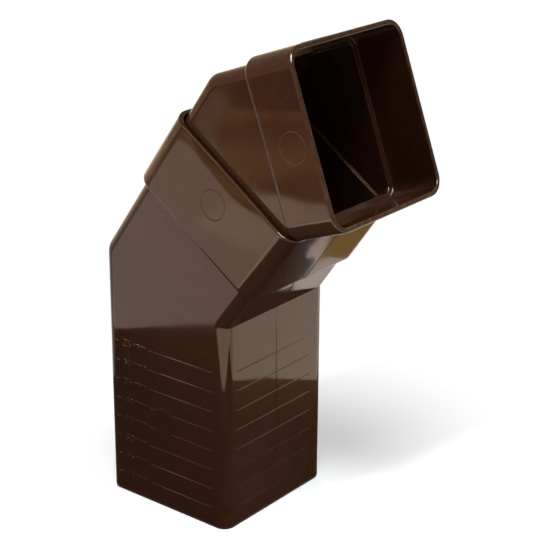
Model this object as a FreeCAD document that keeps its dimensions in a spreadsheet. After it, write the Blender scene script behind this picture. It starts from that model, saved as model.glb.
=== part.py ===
import FreeCAD, Part
import math
import os
import Sketcher

# Square downspout elbow: two mitred bends, the upper one resting in the lower one's socket.
# Lengths are in millimetres and angles in degrees. The lower spigot stands on the ground plane,
# its axis is +Z, and both bends lean towards +X.

doc = FreeCAD.newDocument("downspout_elbow")
sizes = doc.addObject("Spreadsheet::Sheet", "Sizes")

driving_sizes = [
    # section shared by both bends
    ("tube_width", 65.0),
    ("tube_wall", 2.0),
    ("tube_corner", 5.0),
    ("socket_wall", 2.0),
    ("socket_floor", 1.5),
    ("fit_gap", 0.5),
    # mitre shared by both bends
    ("bend_angle", 35.0),
    ("bend_round", 8.0),
    ("throat_round", 0.8),
    ("shoulder_round", 2.2),
    ("rim_round", 0.6),
    ("rim_chamfer", 0.4),
    # lower bend: foot to mitre along the axis, throat to shoulder, shoulder to rim
    ("lower_spigot", 100.0),
    ("lower_neck", 19.75),
    ("lower_socket", 35.4),
    # upper bend: the same, but its shoulder starts a little before the throat
    ("upper_spigot", 45.3),
    ("throat_overlap", 0.75),
    ("upper_socket", 23.5),
    ("ledge_drop", 14.3),
    ("ledge_width", 1.5),
    # how the upper bend sits in the socket: off its floor, off one side wall and off the throat wall
    ("seat_gap", 0.2),
    ("side_gap", 0.1),
    ("throat_gap", 0.3),
    # raised cutting scale on two faces of the lower spigot
    ("mark_first", 8.8),
    ("mark_step", 5.0),
    ("mark_count", 8.0),
    ("mark_line", 0.5),
    ("mark_height", 0.25),
    ("mark_root", 0.5),
    ("front_mark_start", 8.7),
    ("front_mark_end", 25.4),
    ("throat_mark_length", 48.0),
    # how far a cutting form runs past the face that it opens
    ("overrun", 5.0),
]
for row, (alias, value) in enumerate(driving_sizes, start=1):
    sizes.set(f"A{row}", alias)
    sizes.set(f"B{row}", str(value))
    sizes.setAlias(f"B{row}", alias)
doc.recompute()


def size(alias):
    return float(sizes.get(alias))


bore_width = "(Sizes.tube_width - 2 * Sizes.tube_wall)"
bore_corner = "(Sizes.tube_corner - Sizes.tube_wall)"
socket_bore_width = "(Sizes.tube_width + 2 * Sizes.fit_gap)"
socket_bore_corner = "(Sizes.tube_corner + Sizes.fit_gap)"
socket_width = "(Sizes.tube_width + 2 * Sizes.fit_gap + 2 * Sizes.socket_wall)"
socket_corner = "(Sizes.tube_corner + Sizes.fit_gap + Sizes.socket_wall)"
mouth_width = "(Sizes.tube_width + 2 * Sizes.fit_gap + 2 * Sizes.rim_chamfer)"
mouth_corner = "(Sizes.tube_corner + Sizes.fit_gap + Sizes.rim_chamfer)"

throat_line = "Sizes.tube_width / 2 * tan(Sizes.bend_angle / 2)"
lower_shoulder = f"({throat_line} + Sizes.lower_neck)"
upper_shoulder = f"({throat_line} - Sizes.throat_overlap)"

bend_angle = math.radians(size("bend_angle"))
leg_direction = FreeCAD.Vector(math.sin(bend_angle), 0, math.cos(bend_angle))
touching = 1e-4


def plane_of(body, role):
    return next(plane for plane in body.Origin.OriginFeatures if plane.Role == role)


def new_sketch(body, role, name):
    sketch = body.newObject("Sketcher::SketchObject", name)
    sketch.AttachmentSupport = [(plane_of(body, role), "")]
    sketch.MapMode = "FlatFace"
    return sketch


def add_lines(sketch, points, closed, construction=False):
    ends = points[1:] + points[:1] if closed else points[1:]
    pairs = list(zip(points, ends))
    return [sketch.addGeometry(Part.LineSegment(FreeCAD.Vector(*a, 0), FreeCAD.Vector(*b, 0)), construction)
            for a, b in pairs]


def join_lines(sketch, lines, closed):
    followers = lines[1:] + lines[:1] if closed else lines[1:]
    for line, follower in zip(lines, followers):
        sketch.addConstraint(Sketcher.Constraint("Coincident", line, 2, follower, 1))


def dimension(sketch, expression, kind, *where):
    index = sketch.addConstraint(Sketcher.Constraint(kind, *where))
    sketch.setExpression(f"Constraints[{index}]", expression)


def add_axis(sketch, spigot, legs):
    """Draw the centre line: up the spigot to the mitre, then along the leaning leg in one or more steps."""
    turn = math.radians(90 - size("bend_angle"))
    points = [(0, 0), (0, 50)]
    for _ in legs:
        x, z = points[-1]
        points.append((x + 20 * math.cos(turn), z + 20 * math.sin(turn)))
    axis = add_lines(sketch, points, closed=False, construction=True)
    join_lines(sketch, axis, closed=False)
    sketch.addConstraint(Sketcher.Constraint("Coincident", axis[0], 1, -1, 1))
    sketch.addConstraint(Sketcher.Constraint("Vertical", axis[0]))
    dimension(sketch, spigot, "DistanceY", axis[0], 1, axis[0], 2, 50)
    for line, length in zip(axis[1:], legs):
        dimension(sketch, "90 - Sizes.bend_angle", "Angle", line, turn)
        dimension(sketch, length, "Distance", line, 20)
    return axis


def pad_across(body, sketch, width):
    pad = body.newObject("PartDesign::Pad", sketch.Name + "Pad")
    pad.Profile = sketch
    pad.SideType = "Symmetric"
    pad.setExpression("Length", width)
    doc.recompute()
    return pad


def dress_edges(body, base, name, kind, amount, chosen):
    """Fillet or chamfer the edges of the base feature that the test picks."""
    names = [f"Edge{i}" for i, edge in enumerate(base.Shape.Edges, start=1) if chosen(edge)]
    dressed = body.newObject("PartDesign::" + kind, name)
    dressed.Base = (base, names)
    dressed.setExpression("Radius" if kind == "Fillet" else "Size", amount)
    doc.recompute()
    return dressed


def middle(edge):
    return edge.valueAt((edge.FirstParameter + edge.LastParameter) / 2)


def runs_across(edge):
    start, end = edge.Vertexes[0].Point, edge.Vertexes[-1].Point
    return abs(end.x - start.x) < touching and abs(end.z - start.z) < touching


def lies_in(edge, normal, distance):
    points = [vertex.Point for vertex in edge.Vertexes] + [middle(edge)]
    return all(abs(point.dot(normal) - distance) < touching for point in points)


def elbow_form(name, width, corner, outer_round, inner_round, spigot, leg, foot=None):
    """A bent square bar: six-sided side view carried across, with the mitre and the long edges rounded.
    The foot is at the origin unless its level is given."""
    body = doc.addObject("PartDesign::Body", name)
    sketch = new_sketch(body, "XZ_Plane", name + "Side")
    axis = add_axis(sketch, spigot, [leg])
    outline = add_lines(sketch, [(-30, 0), (30, 0), (30, 40), (50, 60), (10, 90), (-30, 60)], closed=True)
    join_lines(sketch, outline, closed=True)
    base, right, under, end, over, left = outline
    sketch.addConstraint(Sketcher.Constraint("Symmetric", base, 1, base, 2, -2))
    sketch.addConstraint(Sketcher.Constraint("Vertical", right))
    sketch.addConstraint(Sketcher.Constraint("Vertical", left))
    sketch.addConstraint(Sketcher.Constraint("Parallel", under, axis[1]))
    sketch.addConstraint(Sketcher.Constraint("Parallel", over, axis[1]))
    sketch.addConstraint(Sketcher.Constraint("Perpendicular", end, axis[1]))
    sketch.addConstraint(Sketcher.Constraint("Symmetric", end, 1, end, 2, axis[1], 2))
    sketch.addConstraint(Sketcher.Constraint("Equal", end, base))
    dimension(sketch, width, "DistanceX", base, 1, base, 2, 60)
    if foot:
        dimension(sketch, foot, "DistanceY", -1, 1, base, 1, 1)
    else:
        sketch.addConstraint(Sketcher.Constraint("PointOnObject", base, 1, -1))
    pad = pad_across(body, sketch, width)
    side = pad.Shape.BoundBox.YMax
    foot_level = pad.Shape.BoundBox.ZMin
    reach = max(vertex.Point.dot(leg_direction) for vertex in pad.Shape.Vertexes)
    up = FreeCAD.Vector(0, 0, 1)

    def on_an_end(edge):
        return lies_in(edge, up, foot_level) or lies_in(edge, leg_direction, reach)

    def at_mitre(edge):
        return runs_across(edge) and not on_an_end(edge)

    def along_side(edge):
        return abs(abs(middle(edge).y) - side) < touching and not runs_across(edge) and not on_an_end(edge)

    back = dress_edges(body, pad, name + "Back", "Fillet", outer_round,
                       lambda edge: at_mitre(edge) and middle(edge).x < 0)
    throat = dress_edges(body, back, name + "Throat", "Fillet", inner_round,
                         lambda edge: at_mitre(edge) and middle(edge).x > 0)
    dress_edges(body, throat, name + "Edges", "Fillet", corner, along_side)


def socket_form(name, width, corner, spigot, start, length, ends=()):
    """A straight square bar along the leaning leg: long edges rounded, then the listed ends dressed."""
    body = doc.addObject("PartDesign::Body", name)
    sketch = new_sketch(body, "XZ_Plane", name + "Side")
    axis = add_axis(sketch, spigot, [start, length])
    outline = add_lines(sketch, [(-20, 90), (40, 50), (60, 80), (0, 120)], closed=True)
    join_lines(sketch, outline, closed=True)
    near, under, far, over = outline
    sketch.addConstraint(Sketcher.Constraint("Perpendicular", near, axis[1]))
    sketch.addConstraint(Sketcher.Constraint("Symmetric", near, 1, near, 2, axis[1], 2))
    sketch.addConstraint(Sketcher.Constraint("Parallel", under, axis[1]))
    sketch.addConstraint(Sketcher.Constraint("Parallel", over, axis[1]))
    sketch.addConstraint(Sketcher.Constraint("Perpendicular", far, axis[1]))
    sketch.addConstraint(Sketcher.Constraint("PointOnObject", axis[2], 2, far))
    dimension(sketch, width, "Distance", near, 60)
    pad = pad_across(body, sketch, width)
    levels = [vertex.Point.dot(leg_direction) for vertex in pad.Shape.Vertexes]
    near_level, far_level = min(levels), max(levels)

    def on_near_end(edge):
        return lies_in(edge, leg_direction, near_level)

    def on_far_end(edge):
        return lies_in(edge, leg_direction, far_level)

    form = dress_edges(body, pad, name + "Edges", "Fillet", corner,
                       lambda edge: not on_near_end(edge) and not on_far_end(edge))
    for end, kind, amount in ends:
        form = dress_edges(body, form, name + end, kind, amount,
                           on_near_end if end == "Near" else on_far_end)


def straight_form(name, width, corner, bottom, length):
    """An upright square bar on the spigot's axis with its long edges rounded."""
    body = doc.addObject("PartDesign::Body", name)
    sketch = new_sketch(body, "XY_Plane", name + "Square")
    sketch.setExpression("AttachmentOffset.Base.z", bottom)
    outline = add_lines(sketch, [(-20, -20), (20, -20), (20, 20), (-20, 20)], closed=True)
    join_lines(sketch, outline, closed=True)
    front, right, rear, left = outline
    sketch.addConstraint(Sketcher.Constraint("Horizontal", front))
    sketch.addConstraint(Sketcher.Constraint("Horizontal", rear))
    sketch.addConstraint(Sketcher.Constraint("Vertical", right))
    sketch.addConstraint(Sketcher.Constraint("Vertical", left))
    sketch.addConstraint(Sketcher.Constraint("Symmetric", front, 1, rear, 1, -1, 1))
    sketch.addConstraint(Sketcher.Constraint("Equal", front, right))
    dimension(sketch, width, "DistanceX", front, 1, front, 2, 40)
    pad = body.newObject("PartDesign::Pad", name + "Pad")
    pad.Profile = sketch
    pad.setExpression("Length", length)
    doc.recompute()
    levels = (pad.Shape.BoundBox.ZMin, pad.Shape.BoundBox.ZMax)
    up = FreeCAD.Vector(0, 0, 1)
    dress_edges(body, pad, name + "Edges", "Fillet", corner,
                lambda edge: not any(lies_in(edge, up, level) for level in levels))


def mark_form(name, role, low_end, high_end):
    """The cutting scale on one face: one thin raised line, repeated up the spigot."""
    body = doc.addObject("PartDesign::Body", name)
    sketch = new_sketch(body, role, name + "Line")
    sketch.setExpression("AttachmentOffset.Base.z", "Sizes.tube_width / 2 - Sizes.mark_root")
    outline = add_lines(sketch, [(-20, 8), (20, 8), (20, 9), (-20, 9)], closed=True)
    join_lines(sketch, outline, closed=True)
    lower, right, upper, left = outline
    sketch.addConstraint(Sketcher.Constraint("Horizontal", lower))
    sketch.addConstraint(Sketcher.Constraint("Horizontal", upper))
    sketch.addConstraint(Sketcher.Constraint("Vertical", right))
    sketch.addConstraint(Sketcher.Constraint("Vertical", left))
    dimension(sketch, low_end, "DistanceX", lower, 1, -1, 1, 20)
    dimension(sketch, high_end, "DistanceX", -1, 1, lower, 2, 20)
    dimension(sketch, "Sizes.mark_line", "DistanceY", right, 1, right, 2, 1)
    dimension(sketch, "Sizes.mark_first - Sizes.mark_line / 2", "DistanceY", -1, 1, lower, 1, 8)
    pad = body.newObject("PartDesign::Pad", name + "Pad")
    pad.Profile = sketch
    pad.setExpression("Length", "Sizes.mark_root + Sizes.mark_height")
    doc.recompute()
    rows = body.newObject("PartDesign::LinearPattern", name + "Rows")
    rows.Originals = [pad]
    rows.Direction = (sketch, ["V_Axis"])
    rows.setExpression("Length", "Sizes.mark_step / sin(Sizes.bend_angle) * (Sizes.mark_count - 1)")
    rows.setExpression("Occurrences", "Sizes.mark_count")
    body.Tip = rows
    doc.recompute()


def bend(name, spigot, shoulder, socket, added, bores):
    """One moulded bend: tube, collar and added relief joined, then the bores and the flared mouth cut out."""
    inner_start = f"{shoulder} + Sizes.socket_floor"
    elbow_form(name + "_tube", "Sizes.tube_width", "Sizes.tube_corner", "Sizes.bend_round",
               "Sizes.throat_round", spigot, inner_start)
    socket_form(name + "_collar", socket_width, socket_corner, spigot, shoulder, socket,
                [("Near", "Fillet", "Sizes.shoulder_round"), ("Far", "Fillet", "Sizes.rim_round")])
    socket_form(name + "_collar_bore", socket_bore_width, socket_bore_corner, spigot, inner_start,
                f"{socket} - Sizes.socket_floor + Sizes.overrun")
    socket_form(name + "_mouth", mouth_width, mouth_corner, spigot,
                f"{shoulder} + {socket} - 2 * Sizes.rim_chamfer", "2 * Sizes.rim_chamfer + Sizes.overrun",
                [("Near", "Chamfer", "2 * Sizes.rim_chamfer")])
    outside = doc.addObject("Part::MultiFuse", name + "_outside")
    outside.Shapes = [doc.getObject(form) for form in (name + "_tube", name + "_collar", *added)]
    inside = doc.addObject("Part::MultiFuse", name + "_inside")
    inside.Shapes = [doc.getObject(form) for form in (name + "_collar_bore", name + "_mouth", *bores)]
    moulding = doc.addObject("Part::Cut", name + "_bend")
    moulding.Base = outside
    moulding.Tool = inside
    doc.recompute()
    return moulding


# Lower bend: long spigot with the cutting scale on its front and throat faces, one even bore.
mark_form("front_scale", "XZ_Plane", "Sizes.front_mark_start", "Sizes.front_mark_end")
mark_form("throat_scale", "YZ_Plane", "Sizes.throat_mark_length / 2", "Sizes.throat_mark_length / 2")
elbow_form("lower_bore", bore_width, bore_corner, "Sizes.bend_round - Sizes.tube_wall",
           "Sizes.throat_round + Sizes.tube_wall", "Sizes.lower_spigot",
           f"{lower_shoulder} + Sizes.socket_floor + Sizes.overrun", "-Sizes.overrun")
lower_bend = bend("lower", "Sizes.lower_spigot", lower_shoulder, "Sizes.lower_socket",
                  ["front_scale", "throat_scale"], ["lower_bore"])

# Upper bend: short spigot whose bore is narrower below a ledge, which lies under the throat.
elbow_form("upper_bore", bore_width, bore_corner, "Sizes.bend_round - Sizes.tube_wall",
           "Sizes.throat_round + Sizes.tube_wall", "Sizes.upper_spigot",
           f"{upper_shoulder} + Sizes.socket_floor + Sizes.overrun", "Sizes.upper_spigot - Sizes.ledge_drop")
straight_form("upper_spigot_bore", f"{bore_width} - 2 * Sizes.ledge_width",
              f"{bore_corner} - Sizes.ledge_width", "-Sizes.overrun",
              "Sizes.upper_spigot - Sizes.ledge_drop + 2 * Sizes.overrun")
upper_bend = bend("upper", "Sizes.upper_spigot", upper_shoulder, "Sizes.upper_socket",
                  [], ["upper_bore", "upper_spigot_bore"])

# The upper bend stands in the lower socket: just off its floor, against one side, near the throat wall.
rise = f"({lower_shoulder} + Sizes.socket_floor + Sizes.seat_gap)"
outward = "(Sizes.throat_gap - Sizes.fit_gap)"
upper_bend.Placement = FreeCAD.Placement(FreeCAD.Vector(), FreeCAD.Rotation(FreeCAD.Vector(0, 1, 0), 1))
upper_bend.setExpression("Placement.Rotation.Angle", "Sizes.bend_angle")
upper_bend.setExpression(
    "Placement.Base.x", f"{rise} * sin(Sizes.bend_angle) - {outward} * cos(Sizes.bend_angle)")
upper_bend.setExpression("Placement.Base.y", "Sizes.fit_gap - Sizes.side_gap")
upper_bend.setExpression(
    "Placement.Base.z",
    f"Sizes.lower_spigot + {rise} * cos(Sizes.bend_angle) + {outward} * sin(Sizes.bend_angle)")
doc.recompute()

for item in doc.Objects:
    if "Invalid" in item.State or "Error" in item.State:
        raise RuntimeError(f"{item.Name} did not build")
for node in (lower_bend, upper_bend):
    if node.Shape.isNull() or not node.Shape.isValid() or len(node.Shape.Solids) != 1:
        raise RuntimeError(f"{node.Name} is not one valid solid")

os.makedirs("parts", exist_ok=True)
for node in (lower_bend, upper_bend):
    node.Shape.exportStep(f"parts/{node.Name}.step")
    print(f"{node.Name}: {node.Shape.Volume / 1000:.2f} cm3, {len(node.Shape.Faces)} faces")
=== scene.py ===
import bmesh
import bpy
import numpy as np
from mathutils import Matrix, Vector


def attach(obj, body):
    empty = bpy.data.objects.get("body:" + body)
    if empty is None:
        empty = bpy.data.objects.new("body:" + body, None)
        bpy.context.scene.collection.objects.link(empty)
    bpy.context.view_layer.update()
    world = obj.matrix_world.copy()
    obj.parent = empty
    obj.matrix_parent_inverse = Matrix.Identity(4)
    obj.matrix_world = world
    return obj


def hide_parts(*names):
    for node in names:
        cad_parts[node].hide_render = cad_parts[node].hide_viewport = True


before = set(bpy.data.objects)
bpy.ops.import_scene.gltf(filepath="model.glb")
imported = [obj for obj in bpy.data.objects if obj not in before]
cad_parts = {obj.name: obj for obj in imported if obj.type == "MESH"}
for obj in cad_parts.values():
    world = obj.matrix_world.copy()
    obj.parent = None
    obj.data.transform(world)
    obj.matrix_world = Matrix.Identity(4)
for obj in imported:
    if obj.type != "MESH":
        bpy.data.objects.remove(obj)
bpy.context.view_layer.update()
scene = bpy.context.scene
scene.view_settings.view_transform = "Standard"
print("frame loaded:", sorted(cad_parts))

mm = 0.001  # sizes below are in millimetres, meshes are in metres

# section and mitre shared by both bends; depths are measured out from the corner centres
pipe = {
    "centre": 27.5, "tube": 5.0, "bore": 3.0, "collar": 7.5, "socket": 5.5, "floor": 1.5,
    "angle": np.radians(35.0), "bendRound": 8.0, "throatRound": 0.8, "shoulderRound": 2.2,
    "rimRound": 0.6, "rimFlat": 0.1, "rimBreak": 0.4, "footBreak": 0.25, "fold": 0.3, "support": 0.3,
    "cornerSteps": 10, "flatSteps": 8, "bendSteps": 10, "shoulderSteps": 8, "rimSteps": 6, "edgeSteps": 4,
    # levels of lighter edges, partly wear and partly painted highlight: along the outer corners and on the
    # foot's rounds
    "cornerWearAndSheen": 0.4, "footWearAndSheen": 0.8,
}
halfTurn = np.tan(pipe["angle"] / 2)
throatLine = (pipe["centre"] + pipe["tube"]) * halfTurn
legDir = np.array([np.sin(pipe["angle"]), 0.0, np.cos(pipe["angle"])])
backDir = np.array([-np.cos(pipe["angle"]), 0.0, np.sin(pipe["angle"])])
acrossDir = np.array([0.0, 1.0, 0.0])
shoulderRows = pipe["shoulderSteps"] + 1
rimStart = shoulderRows + 3  # collar rows before the rim's outer round, apart from extra ones
rimRows = pipe["rimSteps"] + pipe["edgeSteps"] + 4  # the rim's outer round, its flat and its inner edge


# one quarter of the section is a corner arc and then a flat, and the other three are that quarter turned;
# a point of the wall is its corner-centre point plus depth times its normal
def sectionRing():
    c, gap = pipe["centre"], pipe["support"]
    turn = np.linspace(0, np.pi / 2, pipe["cornerSteps"] + 1)
    flat = np.linspace(c - gap, gap - c, pipe["flatSteps"] + 1)
    base = np.concatenate((np.full((turn.size, 2), c), np.stack((flat, np.full(flat.size, c)), 1)))
    corner = np.stack((np.cos(turn), np.sin(turn)), 1)
    normal = np.concatenate((corner, np.tile((0.0, 1.0), (flat.size, 1))))
    q = np.arange(4) * np.pi / 2
    spin = np.stack((np.stack((np.cos(q), -np.sin(q)), 1), np.stack((np.sin(q), np.cos(q)), 1)), 1)
    return [np.einsum("kij,nj->kni", spin, part).reshape(-1, 2) for part in (base, normal)]


ringBase, ringNormal = sectionRing()


# u towards the back of the bend and y across it, for the depth of each row, or of each point of each row
def sectionAt(depth):
    depth = np.atleast_1d(depth)
    if depth.ndim == 1:
        depth = depth[:, None]
    return ringBase[:, 0] + depth * ringNormal[:, 0], ringBase[:, 1] + depth * ringNormal[:, 1]


# upright rows: the section at each height and depth
def spigotRows(height, depth):
    u, y = sectionAt(depth)
    return np.stack((-u, y, np.atleast_1d(height)[:, None] + 0 * u), -1)


# leaning rows: bend point + run along the leg + u towards its back + y across
def legRows(run, depth, spigot):
    u, y = sectionAt(depth)
    run = np.atleast_1d(run)[:, None, None]
    return np.array([0, 0, spigot]) + run * legDir + u[..., None] * backDir + y[..., None] * acrossDir


# bend rows: each long line goes round an arc tangent to both legs, whose radius grows concentrically
# through the corners, from the throat's rounding and from the back's; one row more stands clear at each end
def bendRows(depth, spigot):
    u, y = sectionAt(depth)
    c, t, tight, wide = pipe["centre"], pipe["tube"], pipe["throatRound"], pipe["bendRound"]
    radius = np.interp(u, [-c - t, -c, c, c + t], [tight, tight + t, wide - t, wide])
    angle = np.linspace(0, pipe["angle"], pipe["bendSteps"] + 1)[:, None]
    start = spigot + (u - radius) * halfTurn
    arc = np.stack((-u + radius * (1 - np.cos(angle)), y + 0 * angle, start + radius * np.sin(angle)), -1)
    clear = pipe["support"]
    return np.concatenate((arc[:1] - clear * np.array([0, 0, 1]), arc, arc[-1:] + clear * legDir))


# quarter round in the wall's profile: centre's run and depth, radius, and two angles from the leg's direction
def quarterRound(run, depth, radius, first, last, steps):
    a = np.radians(np.linspace(first, last, steps + 1))
    return np.stack((run + radius * np.cos(a), depth + radius * np.sin(a)), 1)


# grids of rows in one mesh, each row closed on itself; a grid is (rows, whether its last row meets its first)
def gridsMesh(name, grids):
    points, faces, base = [], [], 0
    for rows, closed in grids:
        count, around = rows.shape[:2]
        i, j = np.meshgrid(np.arange(count if closed else count - 1), np.arange(around), indexing="ij")
        here, above = i * around, (i + 1) % count * around
        beside = (j + 1) % around
        quad = np.stack((here + j, above + j, above + beside, here + beside), -1)
        points.append(rows.reshape(-1, 3))
        faces.append(quad.reshape(-1, 4) + base)
        base += count * around
    mesh = bpy.data.meshes.new(name)
    mesh.from_pydata((np.concatenate(points) * mm).tolist(), [], np.concatenate(faces).tolist())
    return mesh


# how much each point of a mesh is painted lighter, for the material: partly wear and partly painted highlight
def setRub(mesh, level):
    layer = mesh.attributes.new("edgeWearAndSheen", "FLOAT", "POINT")
    layer.data.foreach_set("value", level.ravel())


# a skin's lighter edges, partly wear and partly painted highlight: its own level on the rounds of the foot
# and of the rim, and less along the outer corners
def rubEdges(mesh, rows, footRows, rim, outerRows):
    level = np.zeros(rows.shape[:2])
    level[:outerRows] = np.abs(ringNormal).min(1) * np.sqrt(2) * pipe["cornerWearAndSheen"]
    level[:footRows] = pipe["footWearAndSheen"]
    level[outerRows:outerRows + rimRows] = rim
    setRub(mesh, level)


meshing = {"merge": 2e-6, "sliver": 1e-7, "sharp": 50.0}  # distances in metres, fold angle in degrees


# merge what coincides, turn faces outwards, smooth all but the sharp folds, and put the piece on its body
def finishPiece(name, mesh, material, replaced=None, sharp=meshing["sharp"]):
    work = bmesh.new()
    work.from_mesh(mesh)
    bmesh.ops.remove_doubles(work, verts=work.verts, dist=meshing["merge"])
    bmesh.ops.dissolve_degenerate(work, edges=work.edges, dist=meshing["sliver"])
    bmesh.ops.recalc_face_normals(work, faces=work.faces)
    work.to_mesh(mesh)
    work.free()
    mesh.shade_smooth()
    mesh.set_sharp_from_angle(angle=np.radians(sharp))
    mesh.materials.append(material)
    piece = bpy.data.objects.new(name, mesh)
    scene.collection.objects.link(piece)
    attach(piece, "root")
    if replaced:
        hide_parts(replaced)
    print(name, "made,", len(mesh.polygons), "faces")


# collar, rim, socket and floor as one profile of (run, depth) from the shoulder's crease to the bore;
# extra rows stand at given distances before the rim
def collarProfile(shoulder, rim, before=()):
    p, clear, fold, steps = pipe, pipe["support"], pipe["fold"], pipe["edgeSteps"]
    swell, outer, inner = p["shoulderRound"], p["rimRound"], p["rimBreak"]
    step, middle = shoulder + p["floor"], (p["collar"] + p["socket"]) / 2
    parts = [
        quarterRound(shoulder + swell, p["collar"] - swell, swell, 180, 90, p["shoulderSteps"]),
        [[shoulder + swell + clear, p["collar"]], [(shoulder + rim) / 2, p["collar"]]],
        [[rim - far, p["collar"]] for far in (*before, outer + clear)],
        quarterRound(rim - outer, p["collar"] - outer, outer, 90, 0, p["rimSteps"]),
        [[rim, middle + p["rimFlat"] / 2], [rim, middle - p["rimFlat"] / 2]],
        quarterRound(rim - inner, p["socket"] + inner, inner, 0, -90, steps),
        [[run, p["socket"]] for run in (rim - inner - clear, (step + rim) / 2, step + fold + clear)],
        quarterRound(step + fold, p["socket"] - fold, fold, 90, 180, steps),
        [[step, p["socket"] - fold - clear], [step, p["bore"] + fold + clear]],
        quarterRound(step - fold, p["bore"] + fold, fold, 0, -90, steps),
    ]
    return np.concatenate([np.asarray(part, float) for part in parts])


# levels are heights of plain rows up the spigot, and the draw's rows are shares of its start before the rim
# the rim's level of lighter paint is partly wear and partly painted highlight
lowerBend = {
    "spigot": 100.0, "straight": 19.75, "socket": 35.4, "levels": (20.0, 40.0, 60.0, 80.0), "rimWearAndSheen": 0.25,
    "drawStart": 6.4, "drawSlope": 0.042, "drawRows": (1.05, 1.0, 0.85, 0.7, 0.55, 0.4, 0.25),
}
lowerBend["shoulder"] = throatLine + lowerBend["straight"]


# depths of the collar's rows with its two sides drawn in towards the rim: a parabola along the run, from a
# start before the rim, times a parabola across the side; it fades through the wall, so that the socket stays
def drawnDepth(collar, rim):
    d = lowerBend
    past = np.maximum(collar[:, 0] - rim + d["drawStart"], 0)
    shift = d["drawSlope"] * past * past / (2 * d["drawStart"])
    share = np.clip((collar[:, 1] - pipe["socket"]) / (pipe["collar"] - pipe["socket"]), 0, 1)
    return collar[:, 1:] - (shift * share)[:, None] * (1 - (ringBase[:, 0] / pipe["centre"]) ** 2)


# one closed skin: up outside the spigot, round the bend, over shoulder, collar and rim, and back inside
def makeLowerBend(material):
    p, d, clear, fold = pipe, lowerBend, pipe["support"], pipe["fold"]
    rim, edge, steps = d["shoulder"] + d["socket"], p["footBreak"], p["edgeSteps"]
    footOut = quarterRound(edge, p["tube"] - edge, edge, 180, 90, steps)
    footIn = quarterRound(edge, p["bore"] + edge, edge, 270, 180, steps)
    crease = quarterRound(d["shoulder"] - fold, p["tube"] + fold, fold, 270, 360, steps)
    before = d["drawStart"] * np.array(d["drawRows"])
    collar = collarProfile(d["shoulder"], rim, before)
    rise = np.array([edge + clear, *d["levels"]])
    outside = np.concatenate((
        spigotRows(footOut[:, 0], footOut[:, 1]),
        spigotRows(rise, np.full(rise.size, p["tube"])),
        bendRows(p["tube"], d["spigot"]),
        legRows([d["shoulder"] - fold - clear], [p["tube"]], d["spigot"]),
        legRows(crease[:, 0], crease[:, 1], d["spigot"]),
    ))
    rows = np.concatenate((
        outside,
        legRows(collar[:, 0], drawnDepth(collar, rim), d["spigot"]),
        legRows([d["shoulder"] + p["floor"] - fold - clear], [p["bore"]], d["spigot"]),
        bendRows(p["bore"], d["spigot"])[::-1],
        spigotRows(rise[::-1], np.full(rise.size, p["bore"])),
        spigotRows(footIn[:, 0], footIn[:, 1]),
    ))
    outer = len(outside) + before.size + rimStart
    mesh = gridsMesh("lowerBendSkin", [(rows, True)])
    rubEdges(mesh, rows, len(footOut), d["rimWearAndSheen"], outer)
    finishPiece("lowerBendSkin", mesh, material, "lower_bend")
    return rows[len(footOut):outer]


# the rim's high level of lighter paint is partly wear and partly painted highlight, which brightens the lip
upperBend = {
    "spigot": 45.3, "straight": -0.75, "socket": 23.5, "levels": (15.0, 25.0), "rimWearAndSheen": 1.5,
    "ledgeDrop": 14.3, "ledgeWidth": 1.5, "seatGap": 0.2, "sideShift": 0.4, "backShift": -0.2,
    "searchDepth": 15.0, "halvings": 40,
}
upperBend["shoulder"] = throatLine + upperBend["straight"]
# the upper bend stands on the floor of the lower one's socket, turned with its leg
seat = lowerBend["shoulder"] + pipe["floor"] + upperBend["seatGap"]
upperOrigin = (np.array([0, 0, lowerBend["spigot"]]) + upperBend["backShift"] * backDir
               + upperBend["sideShift"] * acrossDir + seat * legDir)
upperTilt = np.stack((-backDir, acrossDir, legDir), 1)


# the shoulder's level for a point at some depth: flat, then up round the collar's edge
def shoulderLevel(depth):
    r = pipe["shoulderRound"]
    out = np.clip(depth - (pipe["collar"] - r), 0, r)
    return upperBend["shoulder"] + r - np.sqrt(r * r - out * out)


# how far a point is past the shoulder, with its run and depth taken in the leg's own axes
def pastShoulder(points):
    rel = points - np.array([0, 0, upperBend["spigot"]])
    run, u, y = rel @ legDir, rel @ backDir, rel[..., 1]
    out = np.maximum(np.abs(np.stack((u, y))) - pipe["centre"], 0)
    depth = np.hypot(out[0], out[1])
    return run - shoulderLevel(depth), depth


# whether each upright line meets the shoulder before it turns, and at which height, found by halving
def meetingHeight(u, y):
    mitre = upperBend["spigot"] + u * halfTurn
    low, high = mitre - upperBend["searchDepth"], mitre.copy()
    for _ in range(upperBend["halvings"]):
        mid = (low + high) / 2
        inside = pastShoulder(np.stack((-u, y, mid), -1))[0] > 0
        low, high = np.where(inside, low, mid), np.where(inside, mid, high)
    caught = pastShoulder(np.stack((-u, y, mitre), -1))[0] > 0
    return caught, high


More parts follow.
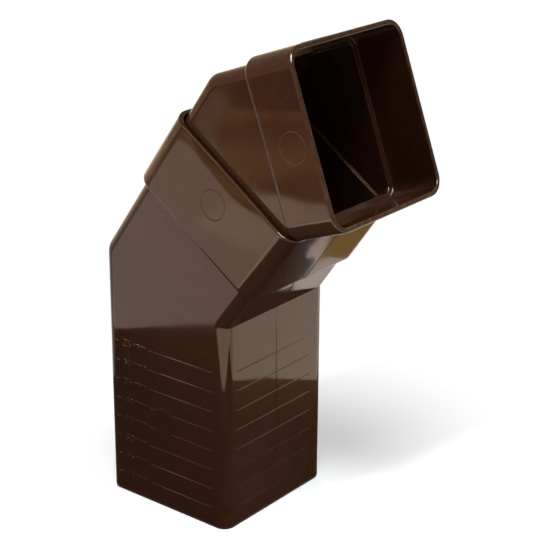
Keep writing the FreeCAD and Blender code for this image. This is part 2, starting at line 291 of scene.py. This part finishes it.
# one closed skin like the lower one's; a line that meets the shoulder before it turns stays at that point
# until the collar's edge is deeper, and a ledge narrows the bore inside
def makeUpperBend(material):
    p, d, clear, fold = pipe, upperBend, pipe["support"], pipe["fold"]
    rim, edge, steps = d["shoulder"] + d["socket"], p["footBreak"], p["edgeSteps"]
    ledge, narrow = d["spigot"] - d["ledgeDrop"], p["bore"] - d["ledgeWidth"]
    footOut = quarterRound(edge, p["tube"] - edge, edge, 180, 90, steps)
    footIn = quarterRound(edge, narrow + edge, edge, 270, 180, steps)
    collar = collarProfile(d["shoulder"], rim)
    shoulder, beyond = collar[:shoulderRows], collar[shoulderRows:]
    lip = np.concatenate((
        [[ledge + fold + clear, p["bore"]]],
        quarterRound(ledge + fold, p["bore"] - fold, fold, 90, 180, steps),
        quarterRound(ledge - fold, narrow + fold, fold, 0, -90, steps),
        [[ledge - fold - clear, narrow], [ledge / 2, narrow], [edge + clear, narrow]],
    ))
    u, y = (part[0] for part in sectionAt(p["tube"]))
    caught, height = meetingHeight(u, y)
    hit = np.stack((-u, y, height), -1)
    rise = np.array([edge + clear, *d["levels"]])
    turning = np.concatenate((
        bendRows(p["tube"], d["spigot"]),
        legRows([d["shoulder"]], [p["tube"]], d["spigot"]),
    ))
    turning = np.where(caught[None, :, None], hit, turning)
    swell = legRows(shoulder[:, 0], shoulder[:, 1], d["spigot"])
    early = caught[None, :] & (shoulder[:, 1:] < pastShoulder(hit)[1][None, :])
    swell = np.where(early[..., None], hit, swell)
    rows = np.concatenate((
        spigotRows(footOut[:, 0], footOut[:, 1]),
        spigotRows(rise, np.full(rise.size, p["tube"])),
        turning,
        swell,
        legRows(beyond[:, 0], beyond[:, 1], d["spigot"]),
        bendRows(p["bore"], d["spigot"])[::-1],
        spigotRows(lip[:, 0], lip[:, 1]),
        spigotRows(footIn[:, 0], footIn[:, 1]),
    ))
    rows = rows @ upperTilt.T + upperOrigin
    outer = len(footOut) + rise.size + len(turning) + rimStart
    mesh = gridsMesh("upperBendSkin", [(rows, True)])
    rubEdges(mesh, rows, len(footOut), d["rimWearAndSheen"], outer)
    finishPiece("upperBendSkin", mesh, material, "upper_bend")
    return rows[len(footOut):outer]


# fine relief: widths, heights above the face and one root below it; end rows are shares of a bead's width,
# and the rings' heights go from the lowest ring up
relief = {
    "around": 16, "root": 0.3, "endRows": (0, 0.06, 0.2, 0.5),
    "line": 0.75, "lineHeight": 0.2, "throatHeight": 0.058,
    "seam": 0.65, "seamHeight": 0.15, "seamStep": 0.02,
    "ring": 6.0, "ringLine": 0.6, "ringHeights": (0.05, 0.055, 0.035), "ringSteps": 72,
}


# raised bead: path point + half width x cosine sideways, with a swell of height x sine to the fourth above
# the face and root x sine below it; fullness draws the section to a point at the ends of an open bead
def beadRows(path, outward, width, height, fullness=None, closed=False):
    tangent = np.roll(path, -1, 0) - np.roll(path, 1, 0) if closed else np.gradient(path, axis=0)
    tangent = tangent / np.linalg.norm(tangent, axis=1, keepdims=True)
    side = np.cross(tangent, outward)
    a = np.linspace(0, 2 * np.pi, relief["around"], endpoint=False)
    lift = np.where(np.sin(a) > 0, height * np.sin(a) ** 4, relief["root"] * np.sin(a))
    across = np.cos(a) * width / 2
    if fullness is None:
        fullness = np.ones(len(path))
        if not closed:
            fullness[[0, -1]] = 0
    swell = side[:, None] * across[:, None] + outward[:, None] * lift[:, None]
    return path[:, None] + fullness[:, None, None] * swell


# straight bead with rounded ends: a few rows close to each end and none between
def straightBead(first, last, outward, width, height):
    first, last = np.array(first, float), np.array(last, float)
    length = np.linalg.norm(last - first)
    near = np.array(relief["endRows"]) * width
    along = np.concatenate((near, length - near[::-1]))
    taper = np.sqrt(1 - (1 - near / near[-1]) ** 2)
    fullness = np.concatenate((taper, taper[::-1]))
    path = first + (last - first) * along[:, None] / length
    return beadRows(path, np.tile(outward, (along.size, 1)), width, height, fullness)


# cutting scale: its pitch is the trade's 5 mm step over the bend's sine, counted down from the top line;
# fullness is how strongly each front line is moulded
# all the lines are painted lighter: a painted highlight of the light that their slopes catch
scale = {
    "lowest": 8.8, "step": 5.0, "count": 8, "face": 32.5,
    "frontLine": (-8.7, 25.4), "throatLine": (-25.5, 22.7), "dash": (-27.5, -25.1),
    "fullness": (1.05, 1.0, 1.2, 0.7, 0.8, 0.85, 1.0, 1.25), "wearAndSheen": 0.8,
    "digits": (-23.1, -18.4), "digitHeight": 3.5, "unit": (-17.3, -10.5), "unitHeight": 2.4,
    "textRelief": 0.2, "strokeRound": 0.045, "curveSteps": 3, "bevelSteps": 2, "sharp": 60.0,
    "firstNumber": 25, "ringCentre": (-1.1, 39.3),
}
scale["pitch"] = scale["step"] / np.sin(pipe["angle"])
scaleHeights = scale["lowest"] + scale["pitch"] * np.arange(scale["count"])[::-1]
front, throat = np.array([0.0, -1.0, 0.0]), np.array([1.0, 0.0, 0.0])


# a straight bead at each height on both faces, with a dash before each number; a front line that crosses the
# gate ring stops on it, at half the ring's chord to each side of its centre
def makeScaleLines(material):
    face, ring, width = scale["face"], relief["ring"], relief["line"]
    ringX, ringZ = scale["ringCentre"]
    left, right = scale["frontLine"]
    start, end = scale["throatLine"]
    chord = np.sqrt(ring ** 2 - np.minimum(ring, np.abs(scaleHeights - ringZ)) ** 2)
    beads = []
    for z, half, full in zip(scaleHeights, chord, scale["fullness"]):
        spans = [(left, ringX - half), (ringX + half, right)] if half > 0 else [(left, right)]
        beads += [straightBead((a, -face, z), (b, -face, z), front, width, full * relief["lineHeight"])
                  for a, b in (*spans, scale["dash"])]
        beads.append(straightBead((face, start, z), (face, end, z), throat, width, relief["throatHeight"]))
    mesh = gridsMesh("scaleLines", [(bead, False) for bead in beads])
    # painted highlight: every line is painted lighter all along
    setRub(mesh, np.full(len(mesh.vertices), scale["wearAndSheen"]))
    finishPiece("scaleLines", mesh, material)


# a word as a mesh in a unit box: across, up, and out of the face
def wordMesh(word):
    curve = bpy.data.curves.new("word", "FONT")
    curve.body = word
    curve.resolution_u, curve.bevel_resolution = scale["curveSteps"], scale["bevelSteps"]
    curve.bevel_depth, curve.offset = scale["strokeRound"], -scale["strokeRound"] / 2
    holder = bpy.data.objects.new("word", curve)
    mesh = holder.to_mesh()
    points = np.empty(len(mesh.vertices) * 3)
    mesh.vertices.foreach_get("co", points)
    points = points.reshape(-1, 3)
    faces = [tuple(face.vertices) for face in mesh.polygons]
    holder.to_mesh_clear()
    bpy.data.objects.remove(holder)
    bpy.data.curves.remove(curve)
    low, high = points.min(0), points.max(0)
    return (points - low) / (high - low), faces


# numbers and their unit, each stretched into its box beside its line on the front face
def makeScaleNumbers(material):
    points, faces, base = [], [], 0
    unit = wordMesh("mm")
    for k, z in enumerate(scaleHeights):
        number = wordMesh(str(int(scale["firstNumber"] + scale["step"] * k)))
        for (box, shapeFaces), span, tall in ((number, scale["digits"], scale["digitHeight"]),
                                              (unit, scale["unit"], scale["unitHeight"])):
            x = span[0] + (span[1] - span[0]) * box[:, 0]
            out = scale["textRelief"] * (2 * box[:, 2] - 1)
            points.append(np.stack((x, -scale["face"] - out, z + tall * (box[:, 1] - 0.5)), 1))
            faces += [tuple(v + base for v in face) for face in shapeFaces]
            base += len(box)
    mesh = bpy.data.meshes.new("scaleNumbers")
    mesh.from_pydata((np.concatenate(points) * mm).tolist(), [], faces)
    finishPiece("scaleNumbers", mesh, material, sharp=scale["sharp"])


gateRing = {"lowerRun": 50.4, "upperRun": 23.9}  # from each bend point along its leg


# gate rings: a bead round a circle on the front face, one on each plain field
def makeGateRings(material):
    lowerPoint = np.array([0, 0, lowerBend["spigot"]])
    upperPoint = upperOrigin + upperTilt @ np.array([0, 0, upperBend["spigot"]])
    socketFace = -(pipe["centre"] + pipe["collar"]) * acrossDir
    low = np.array([scale["ringCentre"][0], -scale["face"], scale["ringCentre"][1]])
    mid = lowerPoint + gateRing["lowerRun"] * legDir + socketFace
    top = upperPoint + gateRing["upperRun"] * (upperTilt @ legDir) + socketFace
    a = np.linspace(0, 2 * np.pi, relief["ringSteps"], endpoint=False)[:, None]
    circle = relief["ring"] * (np.cos(a) * np.array([1, 0, 0]) + np.sin(a) * np.array([0, 0, 1]))
    outward = np.tile(front, (a.size, 1))
    grids = [(beadRows(c + circle, outward, relief["ringLine"], height, None, True), True)
             for c, height in zip((low, mid, top), relief["ringHeights"])]
    finishPiece("gateRings", gridsMesh("gateRings", grids), material)


# mould seam: a fine bead along the skin's own middle line, on the throat side and on the back
def makeMouldSeams(material, outerRows):
    quarter = pipe["cornerSteps"] + pipe["flatSteps"] + 2
    middle = pipe["cornerSteps"] + 1 + pipe["flatSteps"] // 2
    grids = []
    for rows in outerRows:
        for column, sign in ((quarter + middle, 1.0), (3 * quarter + middle, -1.0)):
            path = rows[:, column]
            step = np.linalg.norm(np.diff(path, axis=0), axis=1)
            path = path[np.concatenate(([True], step > relief["seamStep"]))]
            outward = sign * np.cross(acrossDir, np.gradient(path, axis=0))
            outward /= np.linalg.norm(outward, axis=1, keepdims=True)
            grids.append((beadRows(path, outward, relief["seam"], relief["seamHeight"]), False))
    finishPiece("mouldSeams", gridsMesh("mouldSeams", grids), material)


# small moulding pip beside the throat side's seam: place across and up that face, radius and height
mouldPip = {"across": 2.6, "up": 47.5, "radius": 0.45, "height": 0.22, "around": 16, "rows": 5}


# dome: radius x cosine of the row's angle out from the pip's middle, and height x its sine off the face
def makeMouldPip(material):
    p = mouldPip
    a = np.linspace(0, 2 * np.pi, p["around"], endpoint=False)
    rise = np.linspace(-np.pi / 2, np.pi / 2, 2 * p["rows"] + 1)[:, None]
    out = scale["face"] + p["height"] * np.sin(rise) + 0 * a
    across = p["across"] + p["radius"] * np.cos(rise) * np.cos(a)
    up = p["up"] + p["radius"] * np.cos(rise) * np.sin(a)
    finishPiece("mouldPip", gridsMesh("mouldPip", [(np.stack((out, across, up), -1), False)]), material)


# place on a piece in its own coordinates
def ownPlace(tree):
    return tree.nodes.new("ShaderNodeTexCoord").outputs["Object"]


# noise whose patches have a size in mm
def noise(tree, vector, size, detail=2.0, rough=0.5):
    node = tree.nodes.new("ShaderNodeTexNoise")
    node.inputs["Scale"].default_value = 1 / (size * mm)
    node.inputs["Detail"].default_value = detail
    node.inputs["Roughness"].default_value = rough
    tree.links.new(vector, node.inputs["Vector"])
    return node.outputs["Fac"]


# a value from low to high becomes first to last, and stays at those beyond
def spread(tree, value, low, high, first, last):
    node = tree.nodes.new("ShaderNodeMapRange")
    for name, number in (("From Min", low), ("From Max", high), ("To Min", first), ("To Max", last)):
        node.inputs[name].default_value = number
    tree.links.new(value, node.inputs["Value"])
    return node.outputs["Result"]


# colour between two by a factor; each is a fixed colour or comes from another node
def blend(tree, factor, first, second, kind="MIX"):
    node = tree.nodes.new("ShaderNodeMix")
    node.data_type, node.blend_type = "RGBA", kind
    tree.links.new(factor, node.inputs["Factor"])
    for socket, colour in ((node.inputs[6], first), (node.inputs[7], second)):
        if isinstance(colour, tuple):
            socket.default_value = colour
        else:
            tree.links.new(colour, socket)
    return node.outputs[2]


# sum, product or larger of two values
def combine(tree, operation, first, second):
    node = tree.nodes.new("ShaderNodeMath")
    node.operation = operation
    tree.links.new(first, node.inputs[0])
    tree.links.new(second, node.inputs[1])
    return node.outputs["Value"]


# colours are linear; a pattern is its size in mm, detail and roughness, the levels of it that count, and what
# they become; a bump is its size in mm, detail and height in mm
vinyl = {
    "brown": (0.0358, 0.0139, 0.007, 1), "redder": (0.0398, 0.0141, 0.0077, 1),
    # the lighter colour that edges and lines are painted in is partly wear and partly painted highlight
    "shade": (0.72, 0.7, 0.68, 1), "wearAndSheenColour": (0.07, 0.038, 0.024, 1), "dust": (0.11, 0.085, 0.065, 1),
    "cloud": (70.0, 1.5, 0.5, 0.42, 0.62, 0, 1),
    "mottle": (6.0, 4, 0.6, 0.3, 0.7, 0, 0.5),
    "fine": (0.8, 2, 0.5, 0.3, 0.7, 0, 0.9),
    # patchy share of that lighter colour on edges and lines, partly wear and partly painted highlight
    "wearAndSheen": (2.5, 3, 0.6, 0.42, 0.66, 0.1, 0.5),
    "speck": (0.9, 1, 0.5, 0.74, 0.79, 0, 0.35),
    "smudge": (26.0, 5, 0.62, 0.35, 0.7, 0.035, 0.08),
    "scratch": (0.5, 2, 0.6, 0.62, 0.78, 0, 0.1), "scratchLength": 30.0,
    "wave": (28.0, 1, 0.03), "grain": (1.4, 2, 0.0016),
    "specularLevel": 0.2, "specularTint": (1.0, 0.6, 0.35, 1),
}


def makeVinyl():
    material = bpy.data.materials.new("brownVinyl")
    material.use_nodes = True
    tree = material.node_tree
    shader, place = tree.nodes["Principled BSDF"], ownPlace(tree)

    def pattern(name, vector=place):
        size, detail, rough, *levels = vinyl[name]
        return spread(tree, noise(tree, vector, size, detail, rough), *levels)

    # colour: clouds of redder brown, a coarse and a fine mottle, edges and lines painted lighter as wear and
    # painted highlight, a few specks of dust
    colour = blend(tree, pattern("cloud"), vinyl["brown"], vinyl["redder"])
    for name in ("mottle", "fine"):
        colour = blend(tree, pattern(name), colour, vinyl["shade"], "MULTIPLY")
    # edges and lines painted lighter by their own level: partly wear and partly painted highlight
    edge = tree.nodes.new("ShaderNodeAttribute")
    edge.attribute_name = "edgeWearAndSheen"
    wearAndSheenShare = combine(tree, "MULTIPLY", edge.outputs["Fac"], pattern("wearAndSheen"))
    colour = blend(tree, wearAndSheenShare, colour, vinyl["wearAndSheenColour"])
    colour = blend(tree, pattern("speck"), colour, vinyl["dust"])
    tree.links.new(colour, shader.inputs["Base Color"])
    # gloss: smudges with fine long scratches through them
    stretch = tree.nodes.new("ShaderNodeMapping")
    stretch.inputs["Scale"].default_value = (1, 1, vinyl["scratch"][0] / vinyl["scratchLength"])
    tree.links.new(place, stretch.inputs["Vector"])
    gloss = combine(tree, "ADD", pattern("smudge"), pattern("scratch", stretch.outputs["Vector"]))
    tree.links.new(gloss, shader.inputs["Roughness"])
    # surface: slow waves of the moulding under a fine grain
    normal = None
    for size, detail, height in (vinyl["wave"], vinyl["grain"]):
        bump = tree.nodes.new("ShaderNodeBump")
        bump.inputs["Distance"].default_value = height * mm
        tree.links.new(noise(tree, place, size, detail), bump.inputs["Height"])
        if normal:
            tree.links.new(normal, bump.inputs["Normal"])
        normal = bump.outputs["Normal"]
    tree.links.new(normal, shader.inputs["Normal"])
    shader.inputs["Specular IOR Level"].default_value = vinyl["specularLevel"]
    shader.inputs["Specular Tint"].default_value = vinyl["specularTint"]
    return material


brownVinyl = makeVinyl()
lowerRows = makeLowerBend(brownVinyl)
upperRows = makeUpperBend(brownVinyl)
makeScaleLines(brownVinyl)
makeScaleNumbers(brownVinyl)
makeGateRings(brownVinyl)
makeMouldSeams(brownVinyl, (lowerRows, upperRows))
makeMouldPip(brownVinyl)

# camera where the photograph was taken from: bearing, height and roll in degrees, offsets, lens and sensor in
# mm, and the range that it sees in metres
view = {
    "bearing": 38.48, "height": 21.05, "roll": 0.37, "offset": (25.22, 89.2, 697.33),
    "lens": 104.328, "sensor": 36, "range": (0.01, 50),
}


# right, up and back from the three angles, and the place as the offset along them
def makeCamera():
    a, e, r = np.radians([view["bearing"], view["height"], view["roll"]])
    back = np.array([np.sin(a) * np.cos(e), -np.cos(a) * np.cos(e), np.sin(e)])
    right = np.array([np.cos(a), np.sin(a), 0])
    up = np.cross(back, right)
    axes = np.stack((np.cos(r) * right + np.sin(r) * up, np.cos(r) * up - np.sin(r) * right, back))
    place = np.array(view["offset"]) @ axes * mm
    data = bpy.data.cameras.new("photoCamera")
    data.sensor_width, data.lens = view["sensor"], view["lens"]
    data.clip_start, data.clip_end = view["range"]
    camera = bpy.data.objects.new("photoCamera", data)
    scene.collection.objects.link(camera)
    turn = np.eye(4)
    turn[:3, :3], turn[:3, 3] = axes.T, place
    camera.matrix_world = Matrix(turn.tolist())
    scene.camera = camera
    print("camera at", place.round(4))


makeCamera()

# studio: the floor's own white is seen by the camera and in the gloss, and its lit part keeps the shadow;
# the world is warmer in the gloss, and weaker as light than it looks
studio = {
    "floorSize": 4000.0, "floorColour": (0.9, 0.9, 0.9, 1), "floorRoughness": 0.9, "floorWhite": 0.43,
    "white": (1, 1, 1, 1), "worldGloss": (0.85, 0.68, 0.46, 1), "worldLight": 0.2, "worldSeen": 1.0,
}


# 1 for camera, mirror and see-through rays, 0 for the light that surfaces pass on
def seenRay(tree):
    path = tree.nodes.new("ShaderNodeLightPath")
    seen = path.outputs["Is Camera Ray"]
    for name in ("Is Glossy Ray", "Is Transmission Ray"):
        seen = combine(tree, "MAXIMUM", seen, path.outputs[name])
    return seen


# flat sheet at a level over the ground, from its corners in mm
def flatSheet(name, corners, material, level=0.0):
    mesh = bpy.data.meshes.new(name)
    points = [(x * mm, y * mm, level * mm) for x, y in corners]
    mesh.from_pydata(points, [], [tuple(range(len(points)))])
    mesh.materials.append(material)
    sheet = bpy.data.objects.new(name, mesh)
    scene.collection.objects.link(sheet)
    return sheet


def makeFloor():
    material = bpy.data.materials.new("paleFloor")
    material.use_nodes = True
    tree = material.node_tree
    shader = tree.nodes["Principled BSDF"]
    shader.inputs["Base Color"].default_value = studio["floorColour"]
    shader.inputs["Roughness"].default_value = studio["floorRoughness"]
    shader.inputs["Specular IOR Level"].default_value = 0.0
    shader.inputs["Emission Color"].default_value = studio["white"]
    white = spread(tree, seenRay(tree), 0, 1, 0, studio["floorWhite"])
    tree.links.new(white, shader.inputs["Emission Strength"])
    s = studio["floorSize"]
    flatSheet("studioFloor", ((-s, -s), (s, -s), (s, s), (-s, s)), material)


# edges that two cards share: the dark board's as the front corner mirrors it, the bright and the cloudy
# floor's as the front faces mirror them, and the board's as the throat face mirrors it
boardEdge = ((-100, -206), (-62, -220), (-12, -211), (27, -201), (80, -157), (117, -128), (176, -82),
             (203, -47), (221, -10), (183, 23))
brightEdge = ((-420, -440), (-345, -460), (-255, -388), (-234, -381), (-221, -391), (-100, -394))
cloudEdge = ((-600, -540), (-380, -540), (-340, -570), (-100, -570))
throatEdge = ((183, 23), (118, 80), (111, 90), (104, 94), (91, 103), (66, 122))
boardGlow = (0.16, 0.11, 0.09)
# cards lying on the floor, each a little above the last, which only the gloss sees; a second glow comes in
# clouds of a size, or fades in from a first point to a last
cards = {
    # dark board that the part stands on, and the dimmer floor behind
    "darkCard": {"glow": boardGlow, "corners": (
        (-165, -141), *boardEdge, (66, 140), (-140, 140), (-140, -80))},
    "backCard": {"glow": (0.52, 0.44, 0.37), "corners": (
        (66, 250), (66, 1500), (-900, 1500), (-900, 900), (-500, 330), (-260, 250))},
    # floor in front, with its bright and dim places
    "frontCard": {"glow": (3.4, 3.4, 3.6), "corners": (
        (-100, -206), (-195, -111), (-270, -215), (-340, -330), *brightEdge)},
    "hazeCard": {"glow": (0.5, 0.35, 0.15), "second": (2.2, 1.7, 0.9), "clouds": 110.0, "corners": (
        *brightEdge[::-1], (-600, -480), *cloudEdge)},
    "patchCard": {"glow": (4.3, 4.5, 4.5), "corners": (
        (-140, -290), (-230, -315), (-240, -381), (-234, -381), (-225, -386), (-221, -393), (-211, -393),
        (-199, -389), (-187, -397), (-140, -400))},
    "farCard": {"glow": (0.1, 0.07, 0.05), "corners": (
        *cloudEdge[::-1], (-900, -520), (-900, -1100), (-100, -1100))},
    "mistCard": {"glow": (1.5, 1.6, 1.6), "second": (3.0, 3.2, 3.2), "clouds": 45.0, "corners": (
        (-402, -512), (-426, -548), (-436, -569), (-438, -581), (-422, -568), (-398, -539), (-387, -520),
        (-374, -497), (-350, -470), (-322, -442), (-343, -455), (-378, -482))},
    "blotCard": {"glow": (0.8, 0.75, 0.65), "corners": (
        (-399, -514), (-412, -535), (-411, -540), (-392, -520), (-379, -500), (-380, -495))},
    # floor to the left, and beyond the board at the front corner and the throat face
    "sideCard": {"glow": (1.7, 1.4, 0.95), "corners": (
        (-900, -520), (-700, 1500), (-3900, 3900), (-3900, -2500))},
    "cornerCard": {"glow": (5.0, 6.0, 7.0), "corners": (
        *boardEdge, (900, 23), (900, -900), (-100, -900), (-100, -394))},
    "throatCard": {"glow": (3.1, 3.0, 2.6), "corners": (
        *throatEdge, (66, 700), (900, 700), (900, 23))},
    "dimCard": {"glow": (0.55, 0.33, 0.2), "second": boardGlow, "fade": ((104, 94), (75, 58)),
                "corners": (*throatEdge, (36, 84), (61, 65), (81, 52), (88, 42), (153, -15))},
    # shade behind the part, and the pale, warm and golden places that the undersides mirror
    "shadeCard": {"glow": (0.15, 0.155, 0.155), "second": (0.09, 0.052, 0.035),
                  "fade": ((30, 122), (40, 109.5)), "corners": ((-20, 50), (60, 50), (60, 140), (-20, 140))},
    "paleCard": {"glow": (1.36, 1.27, 1.17), "corners": (
        (24, 113), (22, 112), (20.8, 106), (19.6, 96), (18.5, 104), (18.2, 110), (17.6, 110), (15.8, 106.5),
        (15.4, 111.5), (14.2, 117), (12.8, 124), (12.3, 131), (0, 300), (24, 300))},
    "warmCard": {"glow": (1.22, 1.02, 0.87), "corners": (
        (60, 155), (39.7, 133.6), (37.3, 125), (33.6, 120), (32.3, 121.6), (32.1, 125.2), (31.2, 126.7),
        (29.1, 124.3), (26.8, 120), (24, 114), (24, 300), (60, 300))},
    "goldCard": {"glow": (0.6, 0.35, 0.11), "corners": (
        (60, 163), (36.4, 140), (31.7, 133.4), (27.7, 127.6), (28.9, 132.3), (28.8, 136.7), (27.1, 142),
        (25, 148), (25, 250), (60, 250))},
}
cardLook = {"firstLevel": 1.0, "levelStep": 0.2, "cloudLevels": (0.4, 0.65)}


# share of the second glow in clouds
def cloudShare(tree, size):
    return spread(tree, noise(tree, ownPlace(tree), size), *cardLook["cloudLevels"], 0, 1)


# share of the second glow that fades in: how far along the way from the first point to the last
def fadeShare(tree, first, last):
    first, last = Vector((*first, 0)) * mm, Vector((*last, 0)) * mm
    way = last - first
    along = tree.nodes.new("ShaderNodeVectorMath")
    along.operation = "DOT_PRODUCT"
    along.inputs[1].default_value = way
    tree.links.new(ownPlace(tree), along.inputs[0])
    return spread(tree, along.outputs["Value"], way.dot(first), way.dot(last), 0, 1)


# a sheet that glows in one colour, or in two by a share of the second, and is hidden from all but the gloss
def makeCard(name, level):
    data = cards[name]
    material = bpy.data.materials.new(name)
    material.use_nodes = True
    tree = material.node_tree
    tree.nodes.remove(tree.nodes["Principled BSDF"])
    glow = tree.nodes.new("ShaderNodeEmission")
    colour = (*data["glow"], 1)
    glow.inputs["Color"].default_value = colour
    if "second" in data:
        share = cloudShare(tree, data["clouds"]) if "clouds" in data else fadeShare(tree, *data["fade"])
        tree.links.new(blend(tree, share, colour, (*data["second"], 1)), glow.inputs["Color"])
    tree.links.new(glow.outputs["Emission"], tree.nodes["Material Output"].inputs["Surface"])
    card = flatSheet(name, data["corners"], material, level)
    card.visible_camera = card.visible_diffuse = card.visible_shadow = card.visible_transmission = False


# lamps with their places and targets in mm; one with a glint shows in the gloss, and one that lights nothing
# only glints; own holds the settings of its kind, with soft sizes in metres
softSpot = {"spot_blend": 1.0, "shadow_soft_size": 0.03}
lamps = {
    "skySun": {"kind": "SUN", "place": (200, -350, 915), "target": (0, 0, 0), "energy": 1.6,
               "glint": True, "lights": True, "own": {"angle": np.radians(25)}},
    "frontSpot": {"kind": "SPOT", "place": (-60, -420, 330), "target": (45, -30, 160), "energy": 7.0,
                  "glint": False, "lights": True, "own": {"spot_size": np.radians(34), **softSpot}},
    "throatSpot": {"kind": "SPOT", "place": (420, 260, 120), "target": (32, 0, 55), "energy": 5.5,
                   "glint": False, "lights": True, "own": {"spot_size": np.radians(22), **softSpot}},
    "mouthSpot": {"kind": "SPOT", "place": (200, 40, 520), "target": (90, -8, 150), "energy": 7.0,
                  "glint": True, "lights": True, "own": {"spot_size": np.radians(16), **softSpot}},
    "lineGlint": {"kind": "SPOT", "place": (-363, -439, 285), "target": (0, -32, 40), "energy": 5.5,
                  "glint": True, "lights": False,
                  "own": {"color": (0.8, 0.9, 0.85), "spot_size": np.radians(16), "spot_blend": 0.6,
                          "shadow_soft_size": 0.15}},
    "lipGlint": {"kind": "POINT", "place": (309, -74, 490), "target": (75, 0, 174), "energy": 120.0,
                 "glint": True, "lights": False,
                 "own": {"color": (0.45, 0.75, 1.0), "shadow_soft_size": 0.1}},
}


def makeLamp(name):
    data = lamps[name]
    light = bpy.data.lights.new(name, data["kind"])
    light.energy = data["energy"]
    for key, value in data["own"].items():
        setattr(light, key, value)
    lamp = bpy.data.objects.new(name, light)
    scene.collection.objects.link(lamp)
    place, target = Vector(data["place"]), Vector(data["target"])
    lamp.location = place * mm
    lamp.rotation_euler = (target - place).to_track_quat("-Z", "Y").to_euler()
    lamp.visible_camera = False
    lamp.visible_glossy = data["glint"]
    lamp.visible_diffuse = data["lights"]


def makeWorld():
    world = bpy.data.worlds.new("studioWorld")
    world.use_nodes = True
    tree = world.node_tree
    background = tree.nodes["Background"]
    glossy = tree.nodes.new("ShaderNodeLightPath").outputs["Is Glossy Ray"]
    tree.links.new(blend(tree, glossy, studio["white"], studio["worldGloss"]), background.inputs["Color"])
    strength = spread(tree, seenRay(tree), 0, 1, studio["worldLight"], studio["worldSeen"])
    tree.links.new(strength, background.inputs["Strength"])
    scene.world = world


makeFloor()
for k, name in enumerate(cards):
    makeCard(name, cardLook["firstLevel"] + cardLook["levelStep"] * k)
for name in lamps:
    makeLamp(name)
makeWorld()
print("studio set:", len(cards), "cards,", len(lamps), "lamps")
